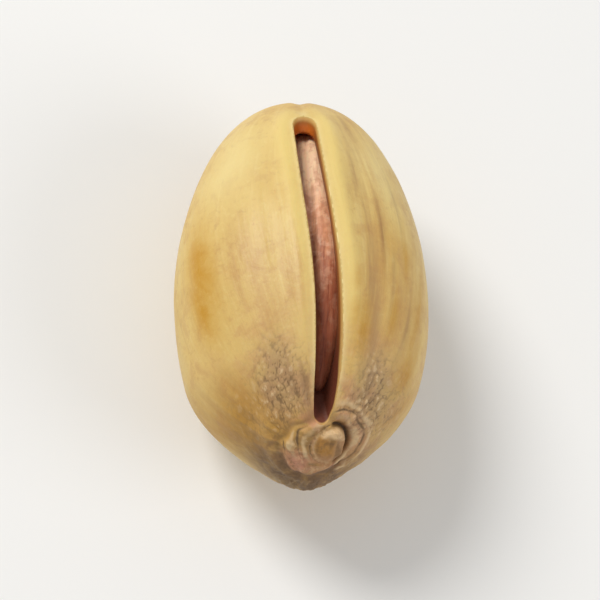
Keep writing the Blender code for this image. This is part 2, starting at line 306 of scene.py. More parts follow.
def scar_relief(along, around):
    """Height of the stem scar: a broad nose, an uneven disc with a moat and a collar, a low
    dished knob on its right with a torn crack round its far side, and rings round the knob."""
    right, up, distance = scar_place(along, around)
    rim = disc_rim(right, up, around)
    height = NOSE_HEIGHT * hump(distance, NOSE_RADIUS)
    height += DISC_HEIGHT * smooth((rim - distance) / DISC_EDGE)
    height -= MOAT_DEPTH * hump(distance - rim - MOAT_WIDTH, MOAT_WIDTH)
    one_sided = 0.5 + 0.5 * np.cos(2 * (around - COLLAR_TURN))
    height += COLLAR_HEIGHT * one_sided * hump(distance - COLLAR_RADIUS, COLLAR_WIDTH)
    out, turn = knob_place(right, up)
    height += KNOB_HEIGHT * smooth((1.0 - out) / KNOB_EDGE)
    height -= KNOB_DISH * np.clip(1.0 - out**2, 0.0, 1.0)
    _, face, streaks = knob_parts(right, up)
    height -= KNOB_FACE_DEPTH * face + KNOB_STREAK * streaks
    from_crack = knob_distance(out) - CRACK_WIDTH / 2
    height -= CRACK_DEPTH * crack_side(turn) * hump(from_crack, CRACK_WIDTH)
    height += RING_HEIGHT * ring_share(right, up, around) * scar_rings(right, up)
    grit = sum(scar_noise(right, up, size, seed) for size, seed in GRIT_SIZES)
    return height + GRIT_HEIGHT * grit * smooth((rim + 0.2 * MM - distance) / (0.5 * MM))


def split_half_width(along):
    """Half the gap between the lips: drawn in to a blunt end at the stem, and narrower and round
    at the tip."""
    share = np.clip((along - SPLIT_START) / (SPLIT_END - SPLIT_START), 0.0, 1.0)
    point = SPLIT_BLUNTNESS + (1.0 - SPLIT_BLUNTNESS) * (1.0 - np.exp(-share / SPLIT_POINT))
    point *= np.sqrt(1.0 - np.clip(1.0 - share / SPLIT_ROUNDING, 0.0, 1.0) ** 2)
    past = np.clip((share - 1.0 + TIP_ROUNDING) / TIP_ROUNDING, 0.0, 1.0)
    round_end = np.sqrt(1.0 - past**2)
    narrowing = TIP_NARROWING * smooth((share - TIP_NARROWING_START) / (1.0 - TIP_NARROWING_START))
    return SPLIT_HALF_WIDTH * (1.0 - narrowing) * point * round_end


def lip_angle(along):
    """The angle round from the seam at which a lip stands."""
    lean = SCAR_LEAN * (1.0 + np.cos(along)) / 2.0
    at_seam = np.sin(along) * np.sin(lean) - np.cos(along) * np.cos(lean)
    radius = WIDTH / 2 * np.sin(along) * girth(at_seam)
    share = split_half_width(along) / np.maximum(radius, SPLIT_HALF_WIDTH)
    return np.arcsin(np.clip(share, 0.0, 1.0))


# The raised rims along the lips, the grooves beside them, and the seam where the shell is shut
RIM_CLOSING = 0.86
RIM_CLOSING_REACH = 0.30
RIM_OVERRUN = 0.25
RIM_FADE = 0.35
LIP_RIDGE = 0.13 * MM
LIP_RIDGE_PLACE = 0.62 * MM
LIP_RIDGE_WIDTH = 0.42 * MM
LIP_GROOVE = 0.07 * MM
LIP_GROOVE_PLACE = 1.75 * MM
LIP_GROOVE_WIDTH = 0.55 * MM
SEAM_HEIGHT = 0.07 * MM
SEAM_WIDTH = 0.30 * MM
SHUT_SEAM_FADE = 0.12
SHUT_SEAM_DEPTH = 1.5 * SEAM_HEIGHT
BACK_SEAM_START = 0.6
BACK_SEAM_FADE = 0.6


def rim_angle(along):
    """The same for the line that the raised rims follow, which closes a little past the split."""
    share = np.clip((along - SPLIT_START) / (SPLIT_END - SPLIT_START), 0.0, None)
    closing = 1.0 - smooth((share - RIM_CLOSING) / RIM_CLOSING_REACH)
    half_width = SPLIT_HALF_WIDTH * (1.0 - np.exp(-share / SPLIT_POINT)) * closing
    return half_width / np.maximum(WIDTH / 2 * np.sin(along), SPLIT_HALF_WIDTH)


def rim_distance(along, around):
    """How far a place on the outside stands from the line that the raised rims follow."""
    radius = WIDTH / 2 * np.sin(along)
    turn = np.minimum(around, 2 * math.pi - around)
    return radius * np.clip(turn - rim_angle(along), 0.0, None)


def lip_relief(along, around):
    """The raised rim along each lip, the shallow groove beside it, and the seam where the shell is
    shut, which is a fine furrow beyond the split and a fine ridge down the back."""
    radius = WIDTH / 2 * np.sin(along)
    turn = np.minimum(around, 2 * math.pi - around)
    from_lip = rim_distance(along, around)
    to_end = SPLIT_END + RIM_OVERRUN - along
    beside = smooth((along - SPLIT_START) / RIM_FADE) * smooth(to_end / RIM_FADE)
    ridge = LIP_RIDGE * hump(from_lip - LIP_RIDGE_PLACE, LIP_RIDGE_WIDTH)
    groove = LIP_GROOVE * hump(from_lip - LIP_GROOVE_PLACE, LIP_GROOVE_WIDTH)
    shut = smooth((along - SPLIT_END) / SHUT_SEAM_FADE) * hump(radius * turn, SEAM_WIDTH)
    back = smooth((along - BACK_SEAM_START) / BACK_SEAM_FADE)
    back = back * hump(radius * (math.pi - turn), SEAM_WIDTH)
    return beside * (ridge - groove) + SEAM_HEIGHT * back - SHUT_SEAM_DEPTH * shut


# The husk round the scar. Furrows are (how many round the nut, phase, share of the depth), and
# the uneven sides are (waves round, waves along, phase, height).
FURROW_DEPTH = 0.11 * MM
FURROW_START = 0.22
FURROW_FULL = 0.36
FURROW_FADE = 0.55
FURROWS = ((9, 0.4, 0.30), (14, 2.1, 0.40), (19, 4.0, 0.30))
UNEVENNESS = (
    (2, 3, 0.7, 0.05 * MM),
    (3, 4, 2.9, 0.06 * MM),
    (5, 7, 5.1, 0.03 * MM),
)
# The wrinkles' lumps, coarse and fine, are so many round the nut and to a radian along
WRINKLE_HEIGHT = 0.04 * MM
WRINKLE_FADE = 0.75
WRINKLE_LUMPS = ((55, 17.0), (104, 34.0))
WRINKLE_SWAY = 0.10
WRINKLE_CRISPNESS = 4.6
WRINKLED_ALL_ROUND = 0.26
WRINKLED_HERE_AND_THERE = 0.24
HUSK_UNEVENNESS = 0.012 * MM
MERIDIAN_ORIGIN = 40.0
# The crinkled patches, two beside each lip and others round the stem end: (along, degrees round
# from the split, reach along in radians, reach round in mm, strength)
CRINKLED_PATCHES = (
    (0.48, -50, 0.16, 1.1, 1.0),
    (0.63, -39, 0.15, 0.9, 0.9),
    (0.46, 58, 0.16, 1.1, 1.0),
    (0.61, 45, 0.13, 0.8, 0.85),
    (0.60, 78, 0.20, 1.2, 0.42),
    (0.50, -84, 0.16, 1.1, 0.35),
    (0.45, 150, 0.22, 1.8, 0.8),
    (0.50, -150, 0.20, 1.4, 0.6),
)


def patches(along, around, places):
    """The strongest of the soft oval patches at each point, measured on the surface."""
    girth_here = WIDTH / 2 * np.sin(along)
    found = np.zeros(np.broadcast(along, around).shape)
    for at_along, at_degrees, reach, reach_round, strength in places:
        turn = (around - math.radians(at_degrees) + math.pi) % (2 * math.pi) - math.pi
        oval = ((along - at_along) / reach) ** 2 + (girth_here * turn / (reach_round * MM)) ** 2
        found = np.maximum(found, strength * np.exp(-oval))
    return found


def meridian_places(along, around, across_count, along_count):
    """Lattice places on which a pattern runs lengthwise: a circle round the nut, and along it."""
    return np.stack(
        [
            np.cos(around) * across_count / 6.0 + MERIDIAN_ORIGIN,
            np.sin(around) * across_count / 6.0 + MERIDIAN_ORIGIN,
            along * along_count + MERIDIAN_ORIGIN + 0 * around,
        ],
        axis=-1,
    )


def furrow_relief(along, around):
    """Furrows running out from the scar, which fade along the nut, and the uneven sides."""
    wave = sum(share * np.cos(count * around + phase) for count, phase, share in FURROWS)
    depth = smooth((along - FURROW_START) / (FURROW_FULL - FURROW_START))
    depth *= np.exp(-((along / FURROW_FADE) ** 2) / 2)
    height = -FURROW_DEPTH * depth * np.abs(wave)
    for round_waves, along_waves, phase, size in UNEVENNESS:
        wave = np.cos(round_waves * around + phase) * np.cos(along_waves * along + 2 * phase)
        height += size * np.sin(along) ** 2 * wave
    return height


def wrinkles(along, around):
    """Small irregular lumps from -1 to 1 with narrow creases between them, a little longer along
    the nut than round it, and finer lumps over them."""
    sway = WRINKLE_SWAY * grain(meridian_places(along, around, 26, 9.0), 5)
    wide = cell_middles(meridian_places(along, around + sway, *WRINKLE_LUMPS[0]), 6)
    fine = cell_middles(meridian_places(along, around - sway, *WRINKLE_LUMPS[1]), 7)
    return np.clip(WRINKLE_CRISPNESS * (0.6 * wide + 0.4 * fine) - 1.0, -1.0, 1.0)


def wrinkle_share(along, around):
    """How strongly the husk has wrinkled: most in the crinkled patches, a little all round the
    scar, and not at all on the smooth half."""
    near = smooth((along - FURROW_START) / 0.12) * np.exp(-((along / WRINKLE_FADE) ** 4))
    patchy = grain(meridian_places(along, around, 14, 4.0), 8)
    patchy = WRINKLED_ALL_ROUND + WRINKLED_HERE_AND_THERE * patchy
    return near * patchy + patches(along, around, CRINKLED_PATCHES) * smooth((along - 0.2) / 0.1)


def wrinkle_relief(along, around):
    """The wrinkles, where the husk has any, and a faint unevenness all over."""
    height = WRINKLE_HEIGHT * wrinkle_share(along, around) * wrinkles(along, around)
    uneven = grain(meridian_places(along, around, 70, 7.0), 9)
    return height + HUSK_UNEVENNESS * np.sin(along) * uneven


def outer_surface(along, around):
    """Points of the shell's outside: the egg with every relief raised along its normals."""
    points, normals = body(along, around)
    height = scar_relief(along, around) + lip_relief(along, around)
    height += furrow_relief(along, around) + wrinkle_relief(along, around)
    return points + normals * height[..., None]


def inner_surface(along, around):
    """Points of the smooth hollow, a wall's thickness inside the plain body. The wall thins
    towards the lips."""
    x, y, z = leaned_sphere(along, around)
    turn = np.minimum(around, 2 * math.pi - around)
    wall = WALL * (1.0 - LIP_THINNING * hump(turn, LIP_THINNING_REACH))
    depth = np.where(z > 0.0, SPLIT_SIDE_DEPTH, BACK_DEPTH) - wall
    full = girth(y)
    half_length = (LENGTH - STEM_WALL - TIP_WALL) / 2
    middle = (STEM_WALL - TIP_WALL) / 2
    across = (WIDTH / 2 - wall) * full * x
    return np.stack([across, middle + half_length * y, depth * full * z], axis=-1)


# How the grids crowd towards the lips and their outer edges, how full the lips bulge, and how
# near two points are sewn together
COLUMN_CROWDING = 0.4
LIP_CROWDING = 1.6
LIP_FULLNESS = 0.7
SEWING_REACH = 0.0002 * MM


def columns(along, count):
    """Angles round from one lip to the other at each station, crowded towards the lips."""
    share = np.linspace(0.0, 1.0, count + 1)
    share = share - COLUMN_CROWDING * np.sin(2 * math.pi * share) / (2 * math.pi)
    lip = lip_angle(along)[:, None]
    return lip + (2 * math.pi - 2 * lip) * share[None, :]


def lip_sheet(outer_edge, inner_edge, bulge, side, steps):
    """A grid of points from the outer edge of a lip to its inner edge, bulging over the gap and
    crowded towards the outer edge, which keeps that edge crisp."""
    share = (np.linspace(0.0, 1.0, steps + 1) ** LIP_CROWDING)[None, :, None]
    points = outer_edge[:, None, :] * (1.0 - share) + inner_edge[:, None, :] * share
    points[..., 0] -= side * bulge[:, None] * np.sin(math.pi * share[..., 0]) ** LIP_FULLNESS
    return points


def sheet_faces(first, rows, cols, turned):
    """The four corners of each face of a grid whose points start at number first. The faces look
    out for a grid that runs along and then round, and in when turned."""
    corner = first + np.arange(rows * cols).reshape(rows, cols)
    faces = np.stack(
        [corner[:-1, :-1], corner[:-1, 1:], corner[1:, 1:], corner[1:, :-1]], axis=-1
    ).reshape(-1, 4)
    return faces[:, ::-1] if turned else faces


def sewn_piece(name, sheets):
    """An object from grids of points, each with whether it is turned and its marks (arrays of
    one value or three to a point). Edges that meet are sewn, which also closes the poles."""
    points, faces, marks, first = [], [], {}, 0
    for grid, turned, grid_marks in sheets:
        rows, cols = grid.shape[:2]
        points.append(grid.reshape(-1, 3))
        faces.append(sheet_faces(first, rows, cols, turned))
        first += rows * cols
        for mark, values in grid_marks.items():
            marks.setdefault(mark, []).append(values.reshape(rows * cols, -1))
    mesh = bpy.data.meshes.new(name)
    mesh.from_pydata(np.concatenate(points), [], np.concatenate(faces))
    for mark, values in marks.items():
        values = np.concatenate(values).astype(np.float32)
        kind, field = ("FLOAT", "value") if values.shape[1] == 1 else ("FLOAT_VECTOR", "vector")
        mesh.attributes.new(mark, kind, "POINT").data.foreach_set(field, values.ravel())
    sewing = bmesh.new()
    sewing.from_mesh(mesh)
    bmesh.ops.remove_doubles(sewing, verts=sewing.verts[:], dist=SEWING_REACH)
    sewing.to_mesh(mesh)
    sewing.free()
    mesh.shade_smooth()
    piece = bpy.data.objects.new(name, mesh)
    bpy.context.scene.collection.objects.link(piece)
    return piece


# Stains and scuffs on the outside: (along, degrees round from the split, reach along in radians,
# reach round in mm, strength). Ochre is where the husk's juice stained the shell.
OCHRE_PATCHES = (
    (1.40, -61, 0.30, 0.95, 1.0),
    (1.22, -66, 0.22, 0.75, 0.95),
    (0.36, -75, 0.14, 0.9, 0.9),
    (0.50, -68, 0.10, 0.5, 0.8),
    (0.80, 21, 0.20, 0.50, 0.8),
    (0.58, -92, 0.22, 1.70, 0.85),
    (0.80, -120, 0.25, 1.30, 0.5),
    (1.15, 60, 0.30, 0.50, 0.55),
    (0.88, 16, 0.14, 0.32, 0.6),
    (1.10, 15, 0.10, 0.25, 0.35),
    (1.00, 40, 0.14, 0.35, 0.6),
    (1.45, 46, 0.16, 0.25, 0.5),
    (0.86, 66, 0.22, 0.60, 0.7),
    (0.70, 84, 0.20, 0.70, 0.5),
    (1.75, 140, 0.35, 1.20, 0.7),
    (1.05, 165, 0.30, 0.90, 0.5),
    (2.35, -150, 0.30, 1.10, 0.6),
    (2.20, 95, 0.35, 1.00, 0.4),
)
PALE_PATCHES = (
    (2.05, -42, 0.34, 1.90, 0.65),
    (2.00, 36, 0.30, 1.40, 0.60),
    (2.10, 150, 0.40, 2.00, 0.40),
    (1.90, -120, 0.30, 1.50, 0.40),
)
# Tan scuffs, and one patch of painted shade on the right flank
TAN_AND_SHADE_PATCHES = (
    (1.30, 30, 0.50, 0.50, 0.7),
    (1.75, 31, 0.45, 0.55, 0.6),
    (1.10, 48, 0.45, 1.10, 0.6),
    (1.50, 62, 0.50, 1.60, 0.35),
    (1.30, -40, 0.30, 1.30, 0.7),
    (1.15, -16, 0.30, 0.80, 0.75),
    (0.95, -30, 0.25, 0.90, 0.8),
    (0.62, -88, 0.26, 1.80, 0.9),
    # Painted shade on the right flank
    (1.35, 92, 0.60, 1.60, 0.8),
    (1.30, 175, 0.60, 2.00, 0.6),
    (0.90, 130, 0.40, 1.80, 0.7),
    (1.70, -130, 0.50, 1.50, 0.5),
)
BROWN_STREAKS = (
    (1.52, 31, 0.24, 0.16, 0.8),
    (1.18, 37, 0.20, 0.13, 0.6),
    (1.02, 52, 0.14, 0.18, 0.5),
    (1.78, 44, 0.26, 0.14, 0.4),
    (1.30, 118, 0.40, 0.16, 0.5),
    (1.60, -128, 0.35, 0.14, 0.4),
)
# A pink bruise on the disc, right and up from its middle, and how far another lies from the knob
PINK_PLACE = (-0.70 * MM, -0.78 * MM)
PINK_REACH = 0.55 * MM
PINK_FROM_KNOB = 0.45 * MM
STEM_COLOUR_REACH = 0.66
TIP_COLOUR_START = 2.2
TIP_COLOUR_FADE = 0.25


def end_marks(along, like):
    """How near each point is to the stem end and to the tip, from 0 to 1."""
    return {
        "stem": np.exp(-((along / STEM_COLOUR_REACH) ** 2)) + 0 * like,
        "tip": smooth((along - TIP_COLOUR_START) / TIP_COLOUR_FADE) + 0 * like,
    }


def outside_marks(along, around):
    """What the finish needs to know at each point of the outside."""
    right, up, distance = scar_place(along, around)
    rim = disc_rim(right, up, around)
    disc = smooth((rim - distance) / (0.35 * MM))
    moat = hump(distance - rim - MOAT_WIDTH, MOAT_WIDTH)
    out, turn = knob_place(right, up)
    from_knob = knob_distance(out)
    knob_rim, _, knob_streak = knob_parts(right, up)
    knob_hem = 0.4 * hump(out - 0.95, 0.09) * smooth(0.3 - np.sin(turn))
    knob_right = smooth((out * np.sin(turn) + 0.10) / 0.6)
    knob_foot = smooth((-out * np.cos(turn) - 0.25) / 0.5)
    crack = crack_side(turn) * hump(from_knob - CRACK_WIDTH / 2, 0.8 * CRACK_WIDTH)
    disc_pink = hump(np.hypot(right - PINK_PLACE[0], up - PINK_PLACE[1]), PINK_REACH)
    crack_pink = 0.7 * crack_side(turn) * hump(from_knob - PINK_FROM_KNOB, PINK_REACH)
    rim_place = rim_distance(along, around) / MM
    lip_turn = np.minimum(around, 2 * math.pi - around) - lip_angle(along)
    lip_place = WIDTH / 2 * np.sin(along) * lip_turn / MM
    split_reach = smooth((along - SPLIT_START) / 0.4) * smooth((SPLIT_END + 0.2 - along) / 0.3)
    groove = hump(rim_place - LIP_GROOVE_PLACE / MM, 0.5) * split_reach
    furrow = -furrow_relief(along, around) / FURROW_DEPTH
    stem_end = smooth((0.9 - along) / 0.5)
    return {
        "fibre": meridian_places(along, around, 6, 0.15),
        "ochre": patches(along, around, OCHRE_PATCHES),
        # Tan scuffs, with painted shade on the right flank
        "tan": patches(along, around, TAN_AND_SHADE_PATCHES),
        "pale": patches(along, around, PALE_PATCHES),
        "streak": patches(along, around, BROWN_STREAKS),
        "wrinkled": np.clip(wrinkle_share(along, around), 0.0, 1.0),
        "crest": 0.5 + 0.5 * wrinkles(along, around),
        "furrow": np.clip(furrow, 0.0, 1.0) * stem_end,
        # Where the underside towards the stem end is painted in shade
        "under": stem_end * smooth((0.2 - np.cos(around)) / 0.9) * (1.0 - disc),
        "disc": disc,
        "moat": moat * (0.55 + 0.45 * np.cos(around + 0.5)),
        "ring": 0.5 + 0.5 * scar_rings(right, up) * ring_share(right, up, around),
        "knob": smooth((1.0 - out) / 0.12),
        "knob_rim": np.maximum(knob_rim, knob_hem),
        "knob_streak": knob_streak,
        "knob_side": np.maximum(knob_right, knob_foot),
        "pink": np.maximum(disc_pink, crack_pink),
        "crack": crack,
        "rim": hump(rim_place - 0.50, 0.50) * split_reach,
        # Where the groove beside the right lip is painted in shade
        "groove": groove * (np.sin(around) > 0.0),
        # Where a painted highlight runs along each lip's edge
        "lip": hump(lip_place, 0.17) * split_reach,
        "inside": np.zeros(np.broadcast(along, around).shape),
        **end_marks(along, around),
    }


def inside_marks(points, along, inside):
    """The same marks for the lips and the hollow, where the outside's own are blank, the fibres
    lie by the points' places, and only the depth inside and the two ends matter."""
    blank = np.zeros(inside.shape)
    marks = dict.fromkeys((
        "ochre", "tan", "pale", "streak", "wrinkled", "furrow", "under", "disc", "moat", "knob",
        "knob_rim", "knob_streak", "knob_side", "pink", "crack", "rim", "groove", "lip",
    ), blank)
    marks["fibre"] = points[..., (0, 2, 1)] / (4.0 * MM) + MERIDIAN_ORIGIN
    marks.update(crest=blank + 0.5, ring=blank + 0.5, inside=inside)
    marks.update(end_marks(along, inside))
    return marks


# The grids: columns round the nut, steps through a lip, and stations along the split and at the
# scar and the tip beyond it
OUTER_COLUMNS = 300
INNER_COLUMNS = 72
LIP_STEPS = 10
SPLIT_STATIONS = 190
OUTER_END_STATIONS = (34, 24)
INNER_END_STATIONS = (4, 8)
END_CROWDING = 0.35
STEM_CROWDING = 1.35

split_turn = np.linspace(0.0, math.pi, SPLIT_STATIONS)
split_even = np.linspace(0.0, 1.0, SPLIT_STATIONS)
split_share = END_CROWDING * (1.0 - np.cos(split_turn)) / 2.0
split_share += (1.0 - END_CROWDING) * split_even**STEM_CROWDING
split_along = SPLIT_START + (SPLIT_END - SPLIT_START) * split_share


def stations(at_scar, at_tip):
    """Places along the nut from the scar to the tip, with those of the split between."""
    return np.concatenate([
        np.linspace(0.0, SPLIT_START, at_scar + 1)[:-1],
        split_along,
        np.linspace(SPLIT_END, math.pi, at_tip + 1)[1:],
    ])


outer_along = stations(*OUTER_END_STATIONS)
inner_along = stations(*INNER_END_STATIONS)
outer_around = columns(outer_along, OUTER_COLUMNS)
inner_around = columns(inner_along, INNER_COLUMNS)
outer_along = np.repeat(outer_along[:, None], OUTER_COLUMNS + 1, axis=1)
inner_along = np.repeat(inner_along[:, None], INNER_COLUMNS + 1, axis=1)
outside = outer_surface(outer_along, outer_around)
hollow = inner_surface(inner_along, inner_around)
outer_split = slice(OUTER_END_STATIONS[0], OUTER_END_STATIONS[0] + SPLIT_STATIONS)
inner_split = slice(INNER_END_STATIONS[0], INNER_END_STATIONS[0] + SPLIT_STATIONS)
lip_bulge = LIP_BULGE * split_half_width(split_along) / SPLIT_HALF_WIDTH
right_lip = lip_sheet(
    outside[outer_split, 0], hollow[inner_split, 0], lip_bulge, 1.0, LIP_STEPS
)
left_lip = lip_sheet(
    outside[outer_split, -1], hollow[inner_split, -1], lip_bulge, -1.0, LIP_STEPS
)

# The grown form is measured from its own middle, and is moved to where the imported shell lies.
# What would reach under the table is pressed flat, which is the small flat it rests on.
shell_low, shell_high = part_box("shell")
grown_low = outside.reshape(-1, 3).min(axis=0)
grown_high = outside.reshape(-1, 3).max(axis=0)
to_place = np.array([
    (shell_low.x + shell_high.x - grown_low[0] - grown_high[0]) / 2,
    (shell_low.y + shell_high.y - grown_low[1] - grown_high[1]) / 2,
    shell_high.z - grown_high[2],
])
outside = outside + to_place
outside[..., 2] = np.maximum(outside[..., 2], shell_low.z)
hollow, right_lip, left_lip = hollow + to_place, right_lip + to_place, left_lip + to_place

lip_depth = np.linspace(0.0, 1.0, LIP_STEPS + 1) ** LIP_CROWDING
lip_depth = np.broadcast_to(lip_depth, right_lip.shape[:2])
shell = sewn_piece("pistachio_shell", [
    (outside, False, outside_marks(outer_along, outer_around)),
    (hollow, True, inside_marks(hollow, inner_along, np.ones(hollow.shape[:2]))),
    (right_lip, True, inside_marks(right_lip, split_along[:, None], lip_depth)),
    (left_lip, False, inside_marks(left_lip, split_along[:, None], lip_depth)),
])


def tone(red, green, blue):
    """A colour for a shader from the numbers of a paint swatch, 0 to 255."""
    share = np.array([red, green, blue]) / 255.0
    light = np.where(share <= 0.04045, share / 12.92, ((share + 0.055) / 1.055) ** 2.4)
    return (*light, 1.0)


class Finish:
    """A material that is built up in coats, as a surface colours with age."""

    def __init__(self, name, colour=None):
        self.colour = colour
        self.material = bpy.data.materials.new(name)
        self.material.use_nodes = True
        self.tree = self.material.node_tree
        self.shader = self.tree.nodes["Principled BSDF"]
        self.place = self.add("ShaderNodeTexCoord").outputs["Object"]

    def add(self, kind, settings=None, **inputs):
        """A node. An input is a value, or the output of another node."""
        made = self.tree.nodes.new(kind)
        for name, value in (settings or {}).items():
            setattr(made, name, value)
        for name, value in inputs.items():
            self.feed(made.inputs[name.replace("_", " ")], value)
        return made

    def feed(self, socket, value):
        """Sets a socket to a value, or links it to another node's output."""
        if isinstance(value, bpy.types.NodeSocket):
            self.tree.links.new(value, socket)
        else:
            socket.default_value = value

    def mark(self, name):
        """A mark of the mesh as one value to a point."""
        return self.add("ShaderNodeAttribute", {"attribute_name": name}).outputs["Fac"]

    def directions(self, name):
        """A mark of the mesh as three values to a point."""
        return self.add("ShaderNodeAttribute", {"attribute_name": name}).outputs["Vector"]

    def noise(self, size, detail=2.0, rough=0.5, where=None, warp=0.0):
        """Cloudy values round 0.5, with clouds of about the given size."""
        made = self.add("ShaderNodeTexNoise", None, Scale=1.0 / size, Detail=detail,
                        Roughness=rough, Distortion=warp)
        self.feed(made.inputs["Vector"], self.place if where is None else where)
        return made.outputs["Fac"]

    def maths(self, operation, first, second=0.0, third=0.0):
        """One step of arithmetic."""
        made = self.add("ShaderNodeMath", {"operation": operation})
        for socket, value in zip(made.inputs, (first, second, third)):
            self.feed(socket, value)
        return made.outputs[0]

    def times(self, first, second):
        """The product of two values."""
        return self.maths("MULTIPLY", first, second)

    def between(self, value, low, high, to_low=0.0, to_high=1.0):
        """The value from low to high, brought to to_low to to_high and held there."""
        made = self.add("ShaderNodeMapRange", {"interpolation_type": "SMOOTHSTEP"})
        for name, number in (("Value", value), ("From Min", low), ("From Max", high),
                             ("To Min", to_low), ("To Max", to_high)):
            self.feed(made.inputs[name], number)
        return made.outputs["Result"]

    def over(self, under, top, share):
        """A layer of colour over another, as thick as share says."""
        made = self.add("ShaderNodeMix", {"data_type": "RGBA"})
        self.feed(made.inputs["Factor"], share)
        self.feed(made.inputs[6], under)
        self.feed(made.inputs[7], top)
        return made.outputs[2]

    def coat(self, top, share):
        """The next coat of colour, over all those before it."""
        self.colour = self.over(self.colour, top, share)

    def bump(self, height, depth, under=None):
        """Relief too fine for the mesh, depth metres from 0 to 1 of the height."""
        made = self.add("ShaderNodeBump", None, Height=height, Distance=depth, Strength=1.0)
        if under is not None:
            self.feed(made.inputs["Normal"], under)
        return made.outputs["Normal"]


# Colours of the shell
CREAM = tone(218, 187, 111)
PALE_CREAM = tone(230, 208, 142)
TIP_CREAM = tone(232, 213, 148)
HONEY = tone(204, 160, 80)
OCHRE = tone(192, 138, 2)
SCUFFED_TAN = tone(190, 143, 82)
STREAK_TAN = tone(192, 152, 90)
STREAK_BROWN = tone(146, 106, 64)
STEM_TAN = tone(194, 140, 76)
STEM_PINK = tone(198, 136, 98)
# Painted shade on the underside towards the stem end
STEM_SHADE_BROWN = tone(108, 82, 54)
HUSK_GREY = tone(166, 134, 98)
# Painted shade in the groove beside the right lip
GROOVE_SHADE_TAN = tone(166, 128, 84)
CREASE_BROWN = tone(110, 84, 50)
CRACK_BROWN = tone(62, 38, 16)
PALE_CREST = tone(218, 188, 142)
SCAR_BROWN = tone(172, 128, 84)
SCAR_OLIVE = tone(150, 114, 62)
SCAR_PINK = tone(190, 132, 108)
KNOB_OCHRE = tone(172, 122, 52)
RIM_CREAM = tone(230, 204, 126)
KNOB_CREAM = tone(230, 196, 148)
# A painted highlight along the lips' edges
LIP_EDGE_HIGHLIGHT = tone(238, 214, 150)
LIP_CUT = tone(214, 172, 100)
# Colours of the hollow: the wall's own tan, then painted shade deeper in, tinted orange like bounced
# light towards the tip, and darkest at the stem end
INNER_SHADE_ORANGE = tone(206, 112, 38)
INNER_TAN_AND_SHADE = tone(168, 104, 42)
INNER_SHADE_BROWN = tone(136, 78, 38)
INNER_SHADE_DARK = tone(104, 50, 30)

wood = Finish("roasted_shell", CREAM)
fibre = wood.directions("fibre")
stem = wood.mark("stem")
clouds = wood.noise(4.3 * MM, 2.0, 0.5)
blotches = wood.noise(1.1 * MM, 3.0, 0.6, None, 0.6)
flecks = wood.noise(0.34 * MM, 3.0, 0.7, None, 0.4)
streaks = wood.noise(0.10, 3.0, 0.55, fibre, 0.3)
fine_streaks = wood.noise(0.03, 2.0, 0.5, fibre)
# The plain husk: cream to honey in soft clouds, with lengthwise streaks and small flecks, and
# paler in places and along the lips
wood.coat(HONEY, wood.between(clouds, 0.44, 0.70, 0.0, 0.7))
wood.coat(PALE_CREAM, wood.times(wood.between(streaks, 0.44, 0.28), 0.3))
streaky = wood.between(wood.noise(7 * MM, 1.0, 0.5), 0.40, 0.62, 0.10, 0.38)
wood.coat(STREAK_TAN, wood.times(wood.between(streaks, 0.52, 0.72), streaky))
wood.coat(SCUFFED_TAN, wood.times(wood.between(fine_streaks, 0.55, 0.75), 0.12))
flecked = wood.between(blotches, 0.35, 0.6, 0.18, 0.55)
wood.coat(STREAK_TAN, wood.times(wood.between(flecks, 0.54, 0.70), flecked))
wood.coat(PALE_CREAM, wood.times(wood.between(flecks, 0.44, 0.30), 0.25))
wood.coat(SCUFFED_TAN, wood.times(wood.between(blotches, 0.50, 0.68), 0.35))
wood.coat(TIP_CREAM, wood.mark("pale"))
wood.coat(RIM_CREAM, wood.times(wood.mark("rim"), wood.between(stem, 0.1, 0.9, 0.8, 0.2)))
# Towards the scar it turns tan and pinkish
stem_colour = wood.over(STEM_TAN, STEM_PINK, wood.between(blotches, 0.42, 0.58))
wood.coat(stem_colour, wood.times(stem, wood.between(blotches, 0.25, 0.7, 0.55, 0.95)))
# Scuffs with some painted shade on the right flank, painted shade in the groove beside the right
# lip, stains and brown streaks
# Tan scuffs, and painted shade on the right flank
tan = wood.times(wood.mark("tan"), wood.between(streaks, 0.34, 0.60, 0.30, 0.95))
wood.coat(SCUFFED_TAN, wood.times(tan, wood.between(flecks, 0.30, 0.62, 0.65, 1.0)))
groove = wood.times(wood.mark("groove"), wood.between(streaks, 0.36, 0.60, 0.25, 0.70))
wood.coat(GROOVE_SHADE_TAN, groove)
ochre = wood.times(wood.mark("ochre"), wood.between(blotches, 0.28, 0.56, 0.75, 1.0))
wood.coat(OCHRE, wood.times(ochre, wood.between(flecks, 0.28, 0.55, 0.85, 1.0)))
streak = wood.times(wood.mark("streak"), wood.between(streaks, 0.32, 0.52, 0.35, 0.85))
wood.coat(STREAK_BROWN, streak)
# The wrinkled husk: grey, with dirt in the creases and pale crests, and painted shade below the scar
wrinkled = wood.mark("wrinkled")
crest = wood.maths("ADD", wood.mark("crest"), wood.maths("MULTIPLY_ADD", flecks, 0.8, -0.4))
wood.coat(HUSK_GREY, wood.times(wrinkled, 0.62))
creased = wood.times(wrinkled, wood.between(crest, 0.42, 0.02))
wood.coat(CREASE_BROWN, wood.times(creased, 0.75))
crested = wood.times(wrinkled, wood.between(crest, 0.66, 1.05))
wood.coat(PALE_CREST, wood.times(crested, 0.8))
furrow = wood.times(wood.mark("furrow"), wood.between(blotches, 0.40, 0.60, 0.0, 0.5))
wood.coat(CREASE_BROWN, furrow)
# Painted shade on the underside towards the stem end
under = wood.times(wood.mark("under"), wood.between(blotches, 0.36, 0.60, 0.55, 0.95))
wood.coat(STEM_SHADE_BROWN, under)
